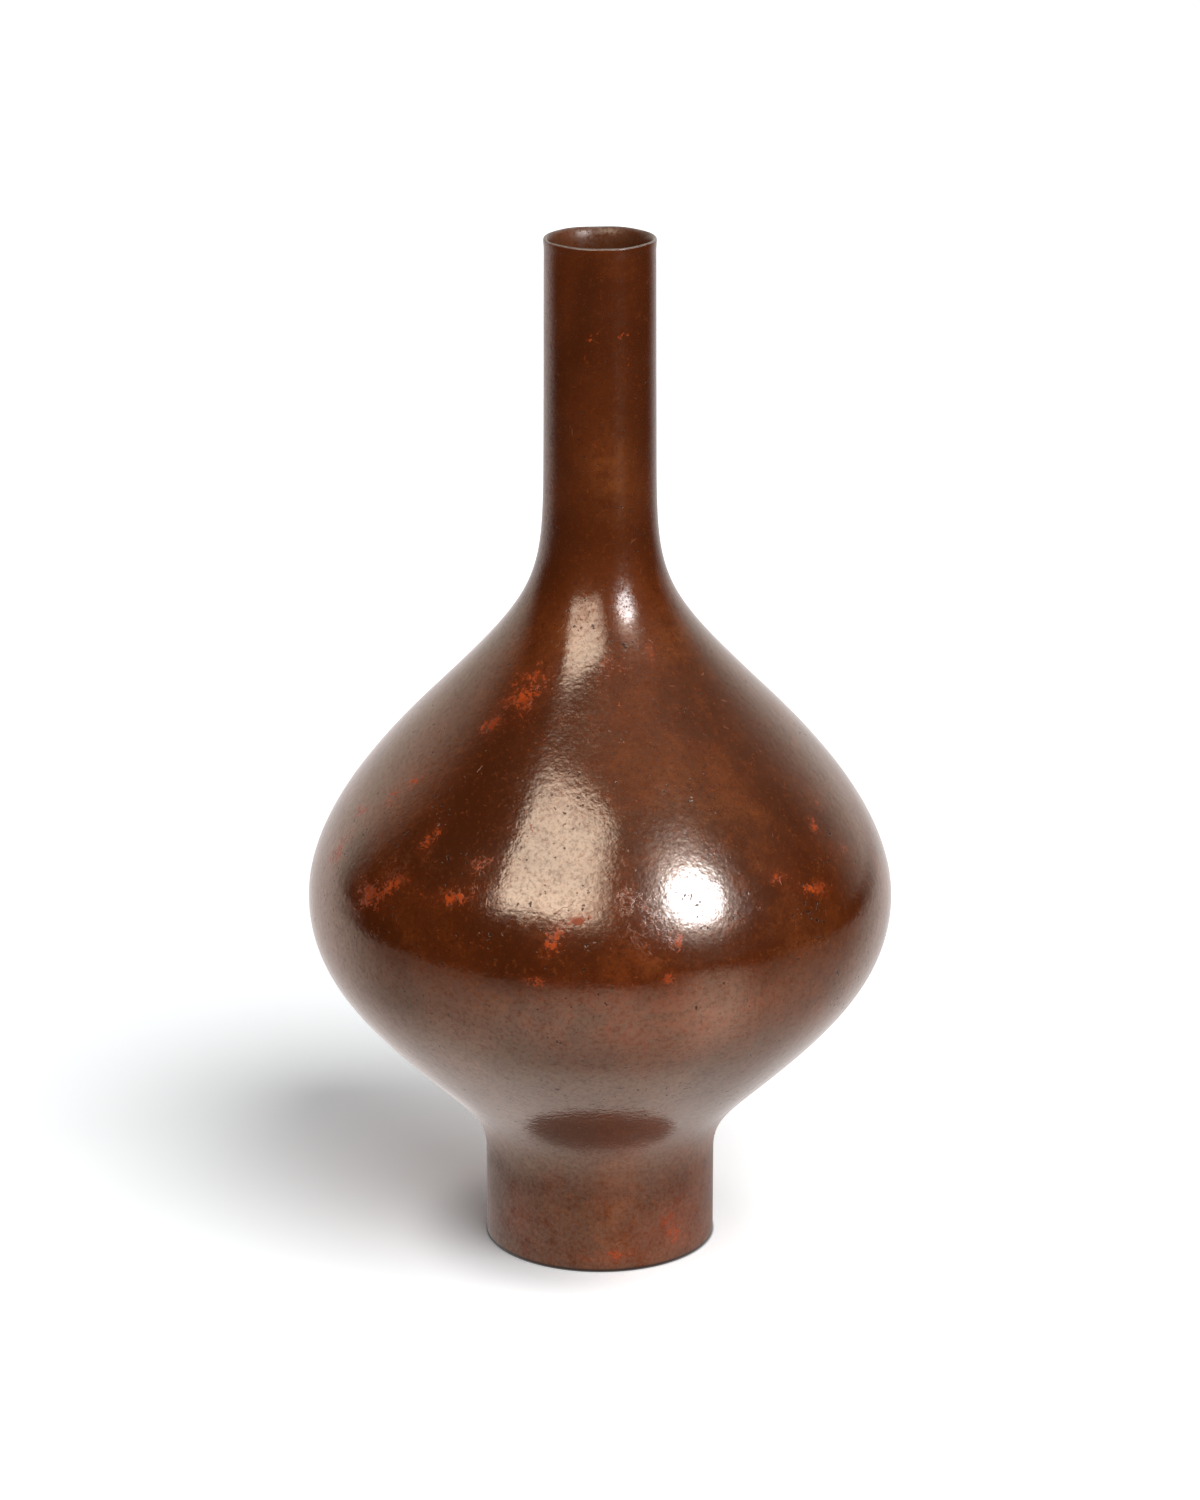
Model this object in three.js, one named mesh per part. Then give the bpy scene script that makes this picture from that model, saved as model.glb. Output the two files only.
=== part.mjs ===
// Cast bronze flower vase with a slender neck, a round belly and a straight foot.
// The shell is one casting, open at the mouth and under the foot, where its core was held.
// A base plate is set into the foot from below against a turned ledge, and a fillet of
// solder holds it there. Millimetres, +Z up, origin at the bottom centre of the foot.

import * as THREE from "three";

// Heights above the surface that the vase stands on
const VASE_HEIGHT = 300;
const FOOT_TOP_Z = 26;
const FLANK_Z = 54;
const BELLY_Z = 106;
const SHOULDER_Z = 163.8;
const NECK_Z = 240;

// Outer radii at those heights
const FOOT_RADIUS = 33.6;
const FLANK_RADIUS = 52.2;
const BELLY_RADIUS = 84.9;
const SHOULDER_RADIUS = 50.9;
const NECK_RADIUS = 16.15;
const NECK_TOP_RADIUS = 15.8;

// How far the wall leans from the upright where it runs straightest, in degrees
const FLANK_LEAN = 47;
const SHOULDER_LEAN = 45;

// How fully each curve follows its two end tangents: 1 pulls all the way to their corner
const FLARE_END_PULL = 0.68;
const LOWER_BELLY_START_PULL = 0.66;
const LOWER_BELLY_END_PULL = 0.85;
const UPPER_BELLY_START_PULL = 0.46;
const UPPER_BELLY_END_PULL = 0.86;
const NECK_END_PULL = 0.96;

// Mouth: a slightly proud, thin rounded edge, turned over as far as the angle in degrees says,
// above a bore that opens like a trumpet
const LIP_RADIUS = 15.95;
const LIP_FLARE_HEIGHT = 3.5;
const LIP_EDGE = 1.1;
const LIP_TURN = 130;
const MOUTH_DEPTH = 6;

// Thickness of the casting
const FOOT_WALL = 5;
const BODY_WALL = 3.2;
const LIP_WALL = 2.3;

// Foot ring and the seat for the base plate
const LEDGE_WIDTH = 1.5;
const RECESS_DEPTH = 6;
const FOOT_OUTER_EDGE = 0.6;
const FOOT_INNER_EDGE = 0.4;

// Base plate and its solder
const PLATE_THICKNESS = 2.5;
const PLATE_CLEARANCE = 0.3;
const PLATE_EDGE = 0.4;
const SOLDER_LEG = 1.8;
const SOLDER_HOLLOW = 0.6;

// Fineness of the faceted solids
const SEGMENTS_AROUND = 64;
const OUTER_STEPS = 8;
const INNER_STEPS = 5;
const EDGE_STEPS = 3;
const LIP_STEPS = 5;
const MOUTH_STEPS = 4;

const { degToRad, lerp, smoothstep } = THREE.MathUtils;

const plateTopZ = RECESS_DEPTH + PLATE_THICKNESS;
const footBoreRadius = FOOT_RADIUS - FOOT_WALL;
const rebateRadius = footBoreRadius + LEDGE_WIDTH;
const lipFlareZ = VASE_HEIGHT - LIP_FLARE_HEIGHT;
const lipRounding = LIP_EDGE / 2;
const lipCentreZ = VASE_HEIGHT - lipRounding;
const mouthZ = VASE_HEIGHT - MOUTH_DEPTH;

// Stations of the outer outline, each with the lean dr/dz of the wall there
const footStation = { radius: FOOT_RADIUS, z: FOOT_TOP_Z, lean: 0 };
const flankStation = { radius: FLANK_RADIUS, z: FLANK_Z, lean: Math.tan(degToRad(FLANK_LEAN)) };
const bellyStation = { radius: BELLY_RADIUS, z: BELLY_Z, lean: 0 };
const shoulderStation = {
  radius: SHOULDER_RADIUS,
  z: SHOULDER_Z,
  lean: -Math.tan(degToRad(SHOULDER_LEAN)),
};
const neckStation = {
  radius: NECK_RADIUS,
  z: NECK_Z,
  lean: (NECK_TOP_RADIUS - NECK_RADIUS) / (lipFlareZ - NECK_Z),
};

// A curve between two stations. Its handles lie on the two end tangents, at a share of the
// way to the corner where these cross, so neighbouring curves meet without a kink.
function curveBetween(lower, upper, lowerPull, upperPull) {
  const cornerZ =
    (upper.radius - lower.radius + lower.lean * lower.z - upper.lean * upper.z) /
    (lower.lean - upper.lean);
  const corner = new THREE.Vector2(lower.radius + lower.lean * (cornerZ - lower.z), cornerZ);
  const start = new THREE.Vector2(lower.radius, lower.z);
  const end = new THREE.Vector2(upper.radius, upper.z);
  return new THREE.CubicBezierCurve(
    start,
    start.clone().lerp(corner, lowerPull),
    end.clone().lerp(corner, upperPull),
    end,
  );
}

const outerCurves = [
  curveBetween(footStation, flankStation, 1, FLARE_END_PULL),
  curveBetween(flankStation, bellyStation, LOWER_BELLY_START_PULL, LOWER_BELLY_END_PULL),
  curveBetween(bellyStation, shoulderStation, UPPER_BELLY_START_PULL, UPPER_BELLY_END_PULL),
  curveBetween(shoulderStation, neckStation, 1, NECK_END_PULL),
];

// Wall thickness at a height: thick in the foot, even in the body, thinning up the neck
function wallAt(z) {
  const aboveFoot = lerp(BODY_WALL, LIP_WALL, smoothstep(z, SHOULDER_Z, VASE_HEIGHT));
  return lerp(FOOT_WALL, aboveFoot, smoothstep(z, FOOT_TOP_Z, FLANK_Z));
}

// Points on an outer curve, from its lower end up, without its last point
function pointsOutside(curve) {
  return curve.getPoints(OUTER_STEPS).slice(0, -1);
}

// Points a wall's thickness inside an outer curve, from its upper end down
function pointsInside(curve) {
  const points = [];
  for (let step = INNER_STEPS; step > 0; step -= 1) {
    const share = step / INNER_STEPS;
    const outer = curve.getPoint(share);
    const along = curve.getTangent(share);
    const outward = new THREE.Vector2(along.y, -along.x);
    points.push(outer.clone().addScaledVector(outward, -wallAt(outer.y)));
  }
  return points;
}

// Points of a circular arc in the profile plane, with its first and last point
function arcPoints(centreRadius, centreZ, arcRadius, startDegrees, endDegrees, steps) {
  const points = [];
  for (let step = 0; step <= steps; step += 1) {
    const angle = degToRad(lerp(startDegrees, endDegrees, step / steps));
    points.push(
      new THREE.Vector2(
        centreRadius + arcRadius * Math.cos(angle),
        centreZ + arcRadius * Math.sin(angle),
      ),
    );
  }
  return points;
}

// Turns a profile of (radius, height) points about the vertical axis
function revolve(profile) {
  const geometry = new THREE.LatheGeometry(profile, SEGMENTS_AROUND);
  geometry.rotateX(Math.PI / 2);
  return geometry;
}

// The trumpet inside the mouth: it leaves the lip's edge along its tangent and meets the bore
// without a kink, so its handle is where that tangent crosses the bore's line
function mouthPoints(lipEnd) {
  const boreRadius = NECK_RADIUS + neckStation.lean * (mouthZ - NECK_Z) - wallAt(mouthZ);
  const fall = (lipEnd.x - boreRadius) * Math.tan(degToRad(LIP_TURN - 90));
  const handle = new THREE.Vector2(boreRadius, lipEnd.y - fall);
  const end = new THREE.Vector2(boreRadius, mouthZ);
  return new THREE.QuadraticBezierCurve(lipEnd, handle, end).getPoints(MOUTH_STEPS).slice(1);
}

// The one-piece casting: up the outside, over the lip, down the bore and out under the foot
function shellProfile() {
  const footEdge = arcPoints(
    FOOT_RADIUS - FOOT_OUTER_EDGE, FOOT_OUTER_EDGE, FOOT_OUTER_EDGE, -90, 0, EDGE_STEPS,
  );
  const lipCentre = LIP_RADIUS - lipRounding;
  const lip = arcPoints(lipCentre, lipCentreZ, lipRounding, 0, LIP_TURN, LIP_STEPS);
  const profile = [
    ...footEdge,
    ...outerCurves.flatMap(pointsOutside),
    new THREE.Vector2(NECK_RADIUS, NECK_Z),
    new THREE.Vector2(NECK_TOP_RADIUS, lipFlareZ),
    ...lip,
    ...mouthPoints(lip.at(-1)),
    ...outerCurves.toReversed().flatMap(pointsInside),
    new THREE.Vector2(footBoreRadius, FOOT_TOP_Z),
    new THREE.Vector2(footBoreRadius, plateTopZ),
    new THREE.Vector2(rebateRadius, plateTopZ),
    new THREE.Vector2(rebateRadius, FOOT_INNER_EDGE),
    new THREE.Vector2(rebateRadius + FOOT_INNER_EDGE, 0),
  ];
  return [...profile, profile[0].clone()];
}

// The disc that closes the casting, with its edges broken by a small chamfer
function basePlateProfile() {
  const edgeRadius = rebateRadius - PLATE_CLEARANCE;
  return [
    new THREE.Vector2(0, RECESS_DEPTH),
    new THREE.Vector2(edgeRadius - PLATE_EDGE, RECESS_DEPTH),
    new THREE.Vector2(edgeRadius, RECESS_DEPTH + PLATE_EDGE),
    new THREE.Vector2(edgeRadius, plateTopZ - PLATE_EDGE),
    new THREE.Vector2(edgeRadius - PLATE_EDGE, plateTopZ),
    new THREE.Vector2(0, plateTopZ),
  ];
}

// The solder run into the corner between the plate and the foot, hollow on its free side
function solderProfile() {
  const wallSide = rebateRadius - PLATE_CLEARANCE;
  const corner = new THREE.Vector2(wallSide, RECESS_DEPTH);
  const onPlate = new THREE.Vector2(wallSide - SOLDER_LEG, RECESS_DEPTH);
  const onWall = new THREE.Vector2(wallSide, RECESS_DEPTH - SOLDER_LEG);
  const pulledIn = onPlate.clone().lerp(onWall, 0.5).lerp(corner, SOLDER_HOLLOW);
  const freeSide = new THREE.QuadraticBezierCurve(onPlate, pulledIn, onWall);
  return [...freeSide.getPoints(EDGE_STEPS), corner, onPlate.clone()];
}

const patinatedBronze = new THREE.MeshStandardMaterial({
  color: 0x5a2c1a,
  roughness: 0.32,
  metalness: 0.6,
});
const plateBronze = new THREE.MeshStandardMaterial({
  color: 0x54382a,
  roughness: 0.55,
  metalness: 0.7,
});
const oldSolder = new THREE.MeshStandardMaterial({
  color: 0x6e6a64,
  roughness: 0.6,
  metalness: 0.8,
});

function namedMesh(name, profile, material) {
  const mesh = new THREE.Mesh(revolve(profile), material);
  mesh.name = name;
  return mesh;
}

const vase = new THREE.Group();
vase.name = "bronze_vase";
vase.add(
  namedMesh("vase_shell", shellProfile(), patinatedBronze),
  namedMesh("base_plate", basePlateProfile(), plateBronze),
  namedMesh("solder_fillet", solderProfile(), oldSolder),
);

export default vase;
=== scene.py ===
# %% [markdown]
# A cast bronze flower vase, about 300 mm tall, with a round belly, a slender neck and a straight
# foot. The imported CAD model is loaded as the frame, which sets every place and size. Each of its
# three pieces is made again as a finer surface and dressed with the finish of the real one: waxed
# red-brown patina, turned bronze and dull solder. Lengths are in mm until a mesh is made of them.

import math
from collections import namedtuple
from functools import partial

import bpy
import numpy as np
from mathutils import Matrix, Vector


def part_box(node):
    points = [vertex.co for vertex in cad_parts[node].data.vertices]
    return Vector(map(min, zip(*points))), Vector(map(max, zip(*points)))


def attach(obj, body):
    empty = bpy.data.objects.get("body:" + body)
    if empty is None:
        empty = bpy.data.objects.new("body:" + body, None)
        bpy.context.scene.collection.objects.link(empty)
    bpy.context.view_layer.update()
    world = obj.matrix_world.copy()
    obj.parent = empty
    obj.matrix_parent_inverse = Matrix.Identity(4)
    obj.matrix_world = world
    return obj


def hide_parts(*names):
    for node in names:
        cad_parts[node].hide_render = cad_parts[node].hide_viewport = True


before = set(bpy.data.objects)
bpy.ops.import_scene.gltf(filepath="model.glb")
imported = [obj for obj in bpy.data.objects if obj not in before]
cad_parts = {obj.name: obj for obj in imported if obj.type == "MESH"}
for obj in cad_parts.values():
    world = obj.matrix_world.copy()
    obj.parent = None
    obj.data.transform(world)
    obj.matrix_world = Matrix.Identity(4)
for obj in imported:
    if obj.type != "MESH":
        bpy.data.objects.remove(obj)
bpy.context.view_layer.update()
print("CAD pieces:", sorted(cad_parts))

# %% [markdown]
# One outline, turned round the axis, gives all of the vase's outside. These are the heights and
# radii where it changes its character: the straight foot, the flank that leans out, the belly, the
# shoulder that leans in, and the neck. They are the same named sizes that the CAD source has,
# because this script can't read that file.

# %% Name the sizes of the outline, in mm
VASE_HEIGHT = 300
MOUTH_DEPTH = 6
LIP_RADIUS = 15.95
LIP_EDGE = 1.1
LIP_TURN = 130
LIP_FLARE_HEIGHT = 3.5
NECK_TOP_RADIUS = 15.8
NECK_FOOT_RADIUS = 16.15
NECK_FOOT_Z = 240
FOOT_WALL = 5
BODY_WALL = 3.2
LIP_WALL = 2.3
LEDGE_WIDTH = 1.5
RECESS_DEPTH = 6
PLATE_THICKNESS = 2.5
FOOT_OUTER_EDGE = 0.6
FOOT_INNER_EDGE = 0.4

lip_rounding = LIP_EDGE / 2
lip_flare_z = VASE_HEIGHT - LIP_FLARE_HEIGHT
plate_top_z = RECESS_DEPTH + PLATE_THICKNESS

# The lean is dr/dz: how fast the wall moves outwards as it rises
Station = namedtuple("Station", "radius z lean")
foot_top = Station(33.6, 26, 0)
flank = Station(52.2, 54, math.tan(math.radians(47)))
belly = Station(84.9, 106, 0)
shoulder = Station(50.9, 163.8, -math.tan(math.radians(45)))
neck_lean = (NECK_TOP_RADIUS - NECK_FOOT_RADIUS) / (lip_flare_z - NECK_FOOT_Z)
neck = Station(NECK_FOOT_RADIUS, NECK_FOOT_Z, neck_lean)
foot_bore_radius = foot_top.radius - FOOT_WALL
rebate_radius = foot_bore_radius + LEDGE_WIDTH
print("widest at", belly.z, "mm, where it is", 2 * belly.radius, "mm across")

# %% [markdown]
# Between two stations the outline is one sweep of the turner's tool, without a kink. A cubic Bézier
# curve gives that: its two inner handles lie on the end tangents, at a share of the way to the corner
# where the tangents cross. A larger share makes a fuller curve. A spline through many measured points
# would copy their errors as ripples, and on a glossy surface every ripple shows.

# %% Sweep a curve between two stations


def sweep(lower, upper, lower_pull, upper_pull, steps):
    """Points on the cubic (1-t)^3 A + 3(1-t)^2 t B + 3(1-t) t^2 C + t^3 D, from A to just before D.

    A and D are the stations, and B and C are the shares lower_pull and upper_pull of the way to
    the corner where the tangents at A and D cross. Rows of (radius, height).
    """
    rise = upper.radius - lower.radius + lower.lean * lower.z - upper.lean * upper.z
    corner_z = rise / (lower.lean - upper.lean)
    corner = np.array([lower.radius + lower.lean * (corner_z - lower.z), corner_z])
    start = np.array([lower.radius, lower.z])
    end = np.array([upper.radius, upper.z])
    first_handle = start + lower_pull * (corner - start)
    second_handle = end + upper_pull * (corner - end)
    t = np.linspace(0, 1, steps, endpoint=False)[:, None]
    rows = (1 - t) ** 3 * start + 3 * (1 - t) ** 2 * t * first_handle
    return rows + 3 * (1 - t) * t**2 * second_handle + t**3 * end


sweeps = [
    sweep(foot_top, flank, 1, 0.68, 34),
    sweep(flank, belly, 0.66, 0.85, 54),
    sweep(belly, shoulder, 0.46, 0.86, 58),
    sweep(shoulder, neck, 1, 0.96, 64),
]
outside = np.concatenate(sweeps)
print("outer sweep:", len(outside), "rows, widest radius", outside[:, 0].max().round(2), "mm")

# %% [markdown]
# The casting is hollow. Its inside follows the outside at the wall's thickness, square to the
# surface: thick at the foot, even in the body, and thinner up the neck. The outline turns back at
# the lip, which is thin, rounded and a little proud of the neck, and the bore opens under it like a
# trumpet. Under the foot the outline steps in to the ledge that the base plate sits against.

# %% Close the outline of the casting


def smooth_step(value, low, high):
    """0 below low, 1 above high, and 3s^2 - 2s^3 between them, where s is the share of the way."""
    share = np.clip((value - low) / (high - low), 0, 1)
    return share**2 * (3 - 2 * share)


def wall_at(z):
    """Thickness of the casting at a height, blended smoothly from foot to body to lip."""
    above_foot = BODY_WALL + (LIP_WALL - BODY_WALL) * smooth_step(z, shoulder.z, VASE_HEIGHT)
    return FOOT_WALL + (above_foot - FOOT_WALL) * smooth_step(z, foot_top.z, flank.z)


def straight(start, end, steps):
    """Evenly spaced points from start to just before end."""
    t = np.linspace(0, 1, steps, endpoint=False)[:, None]
    return (1 - t) * np.array(start) + t * np.array(end)


def arc(centre_radius, centre_z, radius, start_degrees, end_degrees, steps):
    """Points on a circle: centre plus radius times the cosine and the sine of the angle."""
    angle = np.radians(np.linspace(start_degrees, end_degrees, steps))
    return np.stack([centre_radius + radius * np.cos(angle), centre_z + radius * np.sin(angle)], axis=1)


def set_inside(rows):
    """Each outer point moved inwards along the surface's normal by the wall, and put top first."""
    along = np.gradient(rows, axis=0)
    along /= np.linalg.norm(along, axis=1, keepdims=True)
    outward = np.stack([along[:, 1], -along[:, 0]], axis=1)
    return (rows - outward * wall_at(rows[:, 1])[:, None])[::-1]


def trumpet(start, end, steps):
    """The quadratic (1-t)^2 A + 2(1-t) t B + t^2 C, which leaves the lip along its last tangent.

    A is the start and C the end. B lies straight above C, where the tangent at A gets to.
    """
    fall = (start[0] - end[0]) * math.tan(math.radians(LIP_TURN - 90))
    handle = np.array([end[0], start[1] - fall])
    t = np.linspace(0, 1, steps + 1)[1:, None]
    return (1 - t) ** 2 * np.array(start) + 2 * (1 - t) * t * handle + t**2 * np.array(end)


mouth_z = VASE_HEIGHT - MOUTH_DEPTH
mouth_bore_radius = neck.radius + neck_lean * (mouth_z - neck.z) - wall_at(mouth_z)
lip_start = [LIP_RADIUS, VASE_HEIGHT - lip_rounding]
lip = arc(LIP_RADIUS - lip_rounding, lip_start[1], lip_rounding, 0, LIP_TURN, 14)
bore = set_inside(outside[::3])
flare_z = np.linspace(lip_flare_z, lip_start[1], 7, endpoint=False)
flare_swell = smooth_step(flare_z, lip_flare_z, lip_start[1])
flare = np.stack([NECK_TOP_RADIUS + (LIP_RADIUS - NECK_TOP_RADIUS) * flare_swell, flare_z], axis=1)
foot_edge_centre = foot_top.radius - FOOT_OUTER_EDGE

sections = {
    "foot edge": arc(foot_edge_centre, FOOT_OUTER_EDGE, FOOT_OUTER_EDGE, -90, 0, 8)[:-1],
    "foot side": straight([foot_top.radius, FOOT_OUTER_EDGE], [foot_top.radius, foot_top.z], 14),
    "body": outside,
    "neck": straight([neck.radius, neck.z], [NECK_TOP_RADIUS, lip_flare_z], 26),
    "flare": flare,
    "lip": lip,
    "mouth": trumpet(lip[-1], [mouth_bore_radius, mouth_z], 14),
    "neck bore": straight([mouth_bore_radius, mouth_z], bore[0], 11)[1:],
    "bore": bore,
    "foot bore": straight([foot_bore_radius, foot_top.z], [foot_bore_radius, plate_top_z], 6),
    "ledge": straight([foot_bore_radius, plate_top_z], [rebate_radius, plate_top_z], 2),
    "rebate": straight([rebate_radius, plate_top_z], [rebate_radius, FOOT_INNER_EDGE], 5),
    "inner edge": straight([rebate_radius, FOOT_INNER_EDGE], [rebate_radius + FOOT_INNER_EDGE, 0], 1),
    "land": straight([rebate_radius + FOOT_INNER_EDGE, 0], [foot_edge_centre, 0], 3),
}
outline = np.concatenate(list(sections.values()))
outer_rows = sum(len(sections[name]) for name in ("foot edge", "foot side", "body", "neck", "flare"))
print("closed outline:", {name: len(rows) for name, rows in sections.items()})

# %% [markdown]
# Carrying the outline round the axis gives a grid of points, with one row for each outline point
# and one column for each direction. The grid closes on itself both ways, so there is no seam and no
# pole. Smooth shading hides the facets, and only the turned corners under the foot stay sharp.

# %% Turn an outline into a mesh
COLUMNS = 256
SHARP_ABOVE = 35


def turned_points(radius, height, columns):
    """Radius times the cosine and the sine of the direction, and the height, for every row."""
    direction = np.linspace(0, 2 * math.pi, columns, endpoint=False)
    return np.stack([radius * np.cos(direction), radius * np.sin(direction), height + 0 * direction], axis=2)


def grid_faces(rows, columns, last_joins_first_row, last_joins_first_column):
    """The four corners of every face of a grid, row by row."""
    index = np.arange(rows * columns).reshape(rows, columns)
    if last_joins_first_row:
        index = np.concatenate([index, index[:1]])
    if last_joins_first_column:
        index = np.concatenate([index, index[:, :1]], axis=1)
    corners = [index[:-1, :-1], index[:-1, 1:], index[1:, 1:], index[1:, :-1]]
    return np.stack(corners, axis=2).reshape(-1, 4)


def scene_object(name, data):
    """An object at the origin of the scene that shows a mesh, a lamp or a camera."""
    thing = bpy.data.objects.new(name, data)
    bpy.context.scene.collection.objects.link(thing)
    return thing


def mesh_object(name, points, faces):
    """A mesh object from points in metres."""
    mesh = bpy.data.meshes.new(name)
    mesh.from_pydata(np.asarray(points).reshape(-1, 3).tolist(), [], faces)
    return scene_object(name, mesh)


def make_piece(name, points, faces):
    """A smooth piece from points in mm. Edges that turn more than SHARP_ABOVE degrees stay sharp."""
    piece = mesh_object(name, np.asarray(points) / 1000, faces)
    piece.data.shade_smooth()
    piece.data.set_sharp_from_angle(angle=math.radians(SHARP_ABOVE))
    piece.data.validate()
    return piece


def add_attribute(piece, name, values):
    """One number for each point of the mesh, for a material to read by name."""
    layer = piece.data.attributes.new(name, "FLOAT", "POINT")
    layer.data.foreach_set("value", np.asarray(values, dtype=np.float32).ravel())


shell_points = turned_points(outline[:, :1], outline[:, 1:], COLUMNS)
shell_faces = grid_faces(*shell_points.shape[:2], True, True)
print("shell grid:", shell_points.shape[:2], "with", 2 * len(shell_faces), "triangles")

# %% [markdown]
# A casting that was chased and polished by hand isn't perfectly round: its highlights swell and
# narrow a little. A few long waves, about a tenth of a millimetre deep, do that. They only cut into
# the surface, so the vase never grows past its CAD size, and they fade out at the lip and the foot,
# which were turned last. The thin lip has been knocked in use, and dips a little in places.

# %% Let the polished surface waver
WAVER_DEPTH = 0.11
WAVER_FADES_IN = (30, 70)
WAVER_FADES_OUT = (262, 290)
WAVES = ((3, 17, 0.6), (5, -11, 2.1), (2, 23, 4), (8, 29, 1.3))
LIP_DIP = 0.22
LIP_DIP_HEIGHTS = (291, 299.5)


def hand_waver(direction, z):
    """Depth between 0 and 1: the mean of four waves, each a sine of turns round plus height over length."""
    waves = [np.sin(turns * direction + z / length + start) for turns, length, start in WAVES]
    return 0.5 + 0.5 * sum(waves) / len(waves)


direction_of = np.arctan2(shell_points[:, :, 1], shell_points[:, :, 0])
height_of = shell_points[:, :, 2]
is_body = np.zeros(len(outline))
outer_z = outline[:outer_rows, 1]
is_body[:outer_rows] = smooth_step(outer_z, *WAVER_FADES_IN) * (1 - smooth_step(outer_z, *WAVER_FADES_OUT))
depth = WAVER_DEPTH * is_body[:, None] * hand_waver(direction_of, height_of)
outward = shell_points[:, :, :2] / np.linalg.norm(shell_points[:, :, :2], axis=2, keepdims=True)
shell_points[:, :, :2] -= depth[:, :, None] * outward
dip = 0.5 + 0.25 * (np.sin(4 * direction_of + 1) + np.sin(7 * direction_of + 2.6))
shell_points[:, :, 2] -= LIP_DIP * (0.1 + 0.9 * dip) * smooth_step(height_of, *LIP_DIP_HEIGHTS)
print("deepest waver:", depth.max().round(3), "mm")

# %% Make the shell
shell = make_piece("shell", shell_points, shell_faces.tolist())
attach(shell, "root")
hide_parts("vase_shell")
print("shell:", len(shell.data.polygons), "faces")

# %% [markdown]
# The foot is closed by a flat disc that was faced on a lathe, so its underside carries fine rings
# and the small dimple that the lathe's centre left. Both are part of its outline, so they are real
# relief. The disc has a point at the middle of each side, where a ring of triangles closes it.

# %% Turn the base plate
PLATE_CLEARANCE = 0.3
PLATE_EDGE = 0.4
RING_PITCH = 0.9
RING_DEPTH = 0.035
RINGS_FADE_OUT = (26.5, 28)
DIMPLE_RADIUS = 1.4
DIMPLE_DEPTH = 0.7
PLATE_COLUMNS = 128

plate_radius = rebate_radius - PLATE_CLEARANCE
face_radius = plate_radius - PLATE_EDGE


def faced_side(radius, level):
    """Level plus a cone for the dimple, plus rings: depth times the squared sine of radius over pitch."""
    dimple = DIMPLE_DEPTH * np.clip(1 - radius / DIMPLE_RADIUS, 0, 1)
    fade = 1 - smooth_step(radius, *RINGS_FADE_OUT)
    rings = RING_DEPTH * np.sin(math.pi * radius / RING_PITCH) ** 2
    return level + dimple + rings * fade


under_radius = np.linspace(0, face_radius, 130)[1:]
under_side = np.stack([under_radius, faced_side(under_radius, RECESS_DEPTH)], axis=1)
plate_edge = [[plate_radius, RECESS_DEPTH + PLATE_EDGE], [plate_radius, plate_top_z - PLATE_EDGE]]
upper_radius = np.linspace(face_radius, 0, 12, endpoint=False)
upper_side = np.stack([upper_radius, np.full(len(upper_radius), plate_top_z)], axis=1)
plate_rows = np.concatenate([under_side, plate_edge, upper_side])


def disc_mesh(rings, first_pole_z, last_pole_z):
    """Points and faces of a turned solid that ends in one point at each end of its outline."""
    row_count, columns = rings.shape[:2]
    points = np.concatenate([rings.reshape(-1, 3), [[0, 0, first_pole_z], [0, 0, last_pole_z]]])
    sides = grid_faces(row_count, columns, False, True)
    first_pole = np.full(columns, row_count * columns)
    first_ring = np.arange(columns)
    last_ring = first_ring + (row_count - 1) * columns
    first_cap = np.stack([first_pole, np.roll(first_ring, -1), first_ring], axis=1)
    last_cap = np.stack([first_pole + 1, last_ring, np.roll(last_ring, -1)], axis=1)
    return points, sides.tolist() + first_cap.tolist() + last_cap.tolist()


dimple_z = RECESS_DEPTH + DIMPLE_DEPTH
plate_rings = turned_points(plate_rows[:, :1], plate_rows[:, 1:], PLATE_COLUMNS)
plate = make_piece("plate", *disc_mesh(plate_rings, dimple_z, plate_top_z))
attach(plate, "root")
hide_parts("base_plate")
print("plate:", len(plate.data.polygons), "faces, radius", round(plate_radius, 2), "mm")

# %% [markdown]
# Solder is run into the corner between the plate and the foot with an iron, a short way at a time.
# It wets both metals, so its free side is hollow, and its reach swells and narrows where each dab
# set, as a sum of waves round the ring.

# %% Run the solder round the plate
SOLDER_LEG = 1.8
SOLDER_HOLLOW = 0.6
SOLDER_SWELL = 0.45
SOLDER_COLUMNS = 192


def solder_grid(columns):
    """Rows of a hollow fillet: a quadratic curve between the two toes, and the corner behind it.

    Each toe lies a leg from the corner, and the leg is SOLDER_LEG less up to SOLDER_SWELL in waves
    round the ring, so the solder never grows past its CAD size.
    """
    direction = np.linspace(0, 2 * math.pi, columns, endpoint=False)
    swell = np.sin(13 * direction + 0.4) + 0.7 * np.sin(29 * direction + 1.9) + 0.5 * np.sin(5 * direction)
    leg = SOLDER_LEG - SOLDER_SWELL * (0.5 + 0.5 * swell / 2.2)
    t = np.linspace(0, 1, 9)[:, None]
    pull = 0.5 * (1 - SOLDER_HOLLOW)
    towards_axis = leg * ((1 - t) ** 2 + 2 * (1 - t) * t * pull)
    downwards = leg * (t**2 + 2 * (1 - t) * t * pull)
    radius = np.concatenate([plate_radius - towards_axis, np.full((1, columns), plate_radius)])
    height = np.concatenate([RECESS_DEPTH - downwards, np.full((1, columns), RECESS_DEPTH)])
    return turned_points(radius, height, columns)


solder_points = solder_grid(SOLDER_COLUMNS)
solder_faces = grid_faces(*solder_points.shape[:2], True, True)
solder = make_piece("solder", solder_points, solder_faces.tolist())
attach(solder, "root")
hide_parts("solder_fillet")
print("solder:", len(solder.data.polygons), "faces")

# %% [markdown]
# The sizes above repeat those of the CAD source, so a slip in one would move a wall. So each new
# piece's box is set against its CAD node's, and its volume has to be positive, which it is only
# when the faces point outwards.

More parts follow.
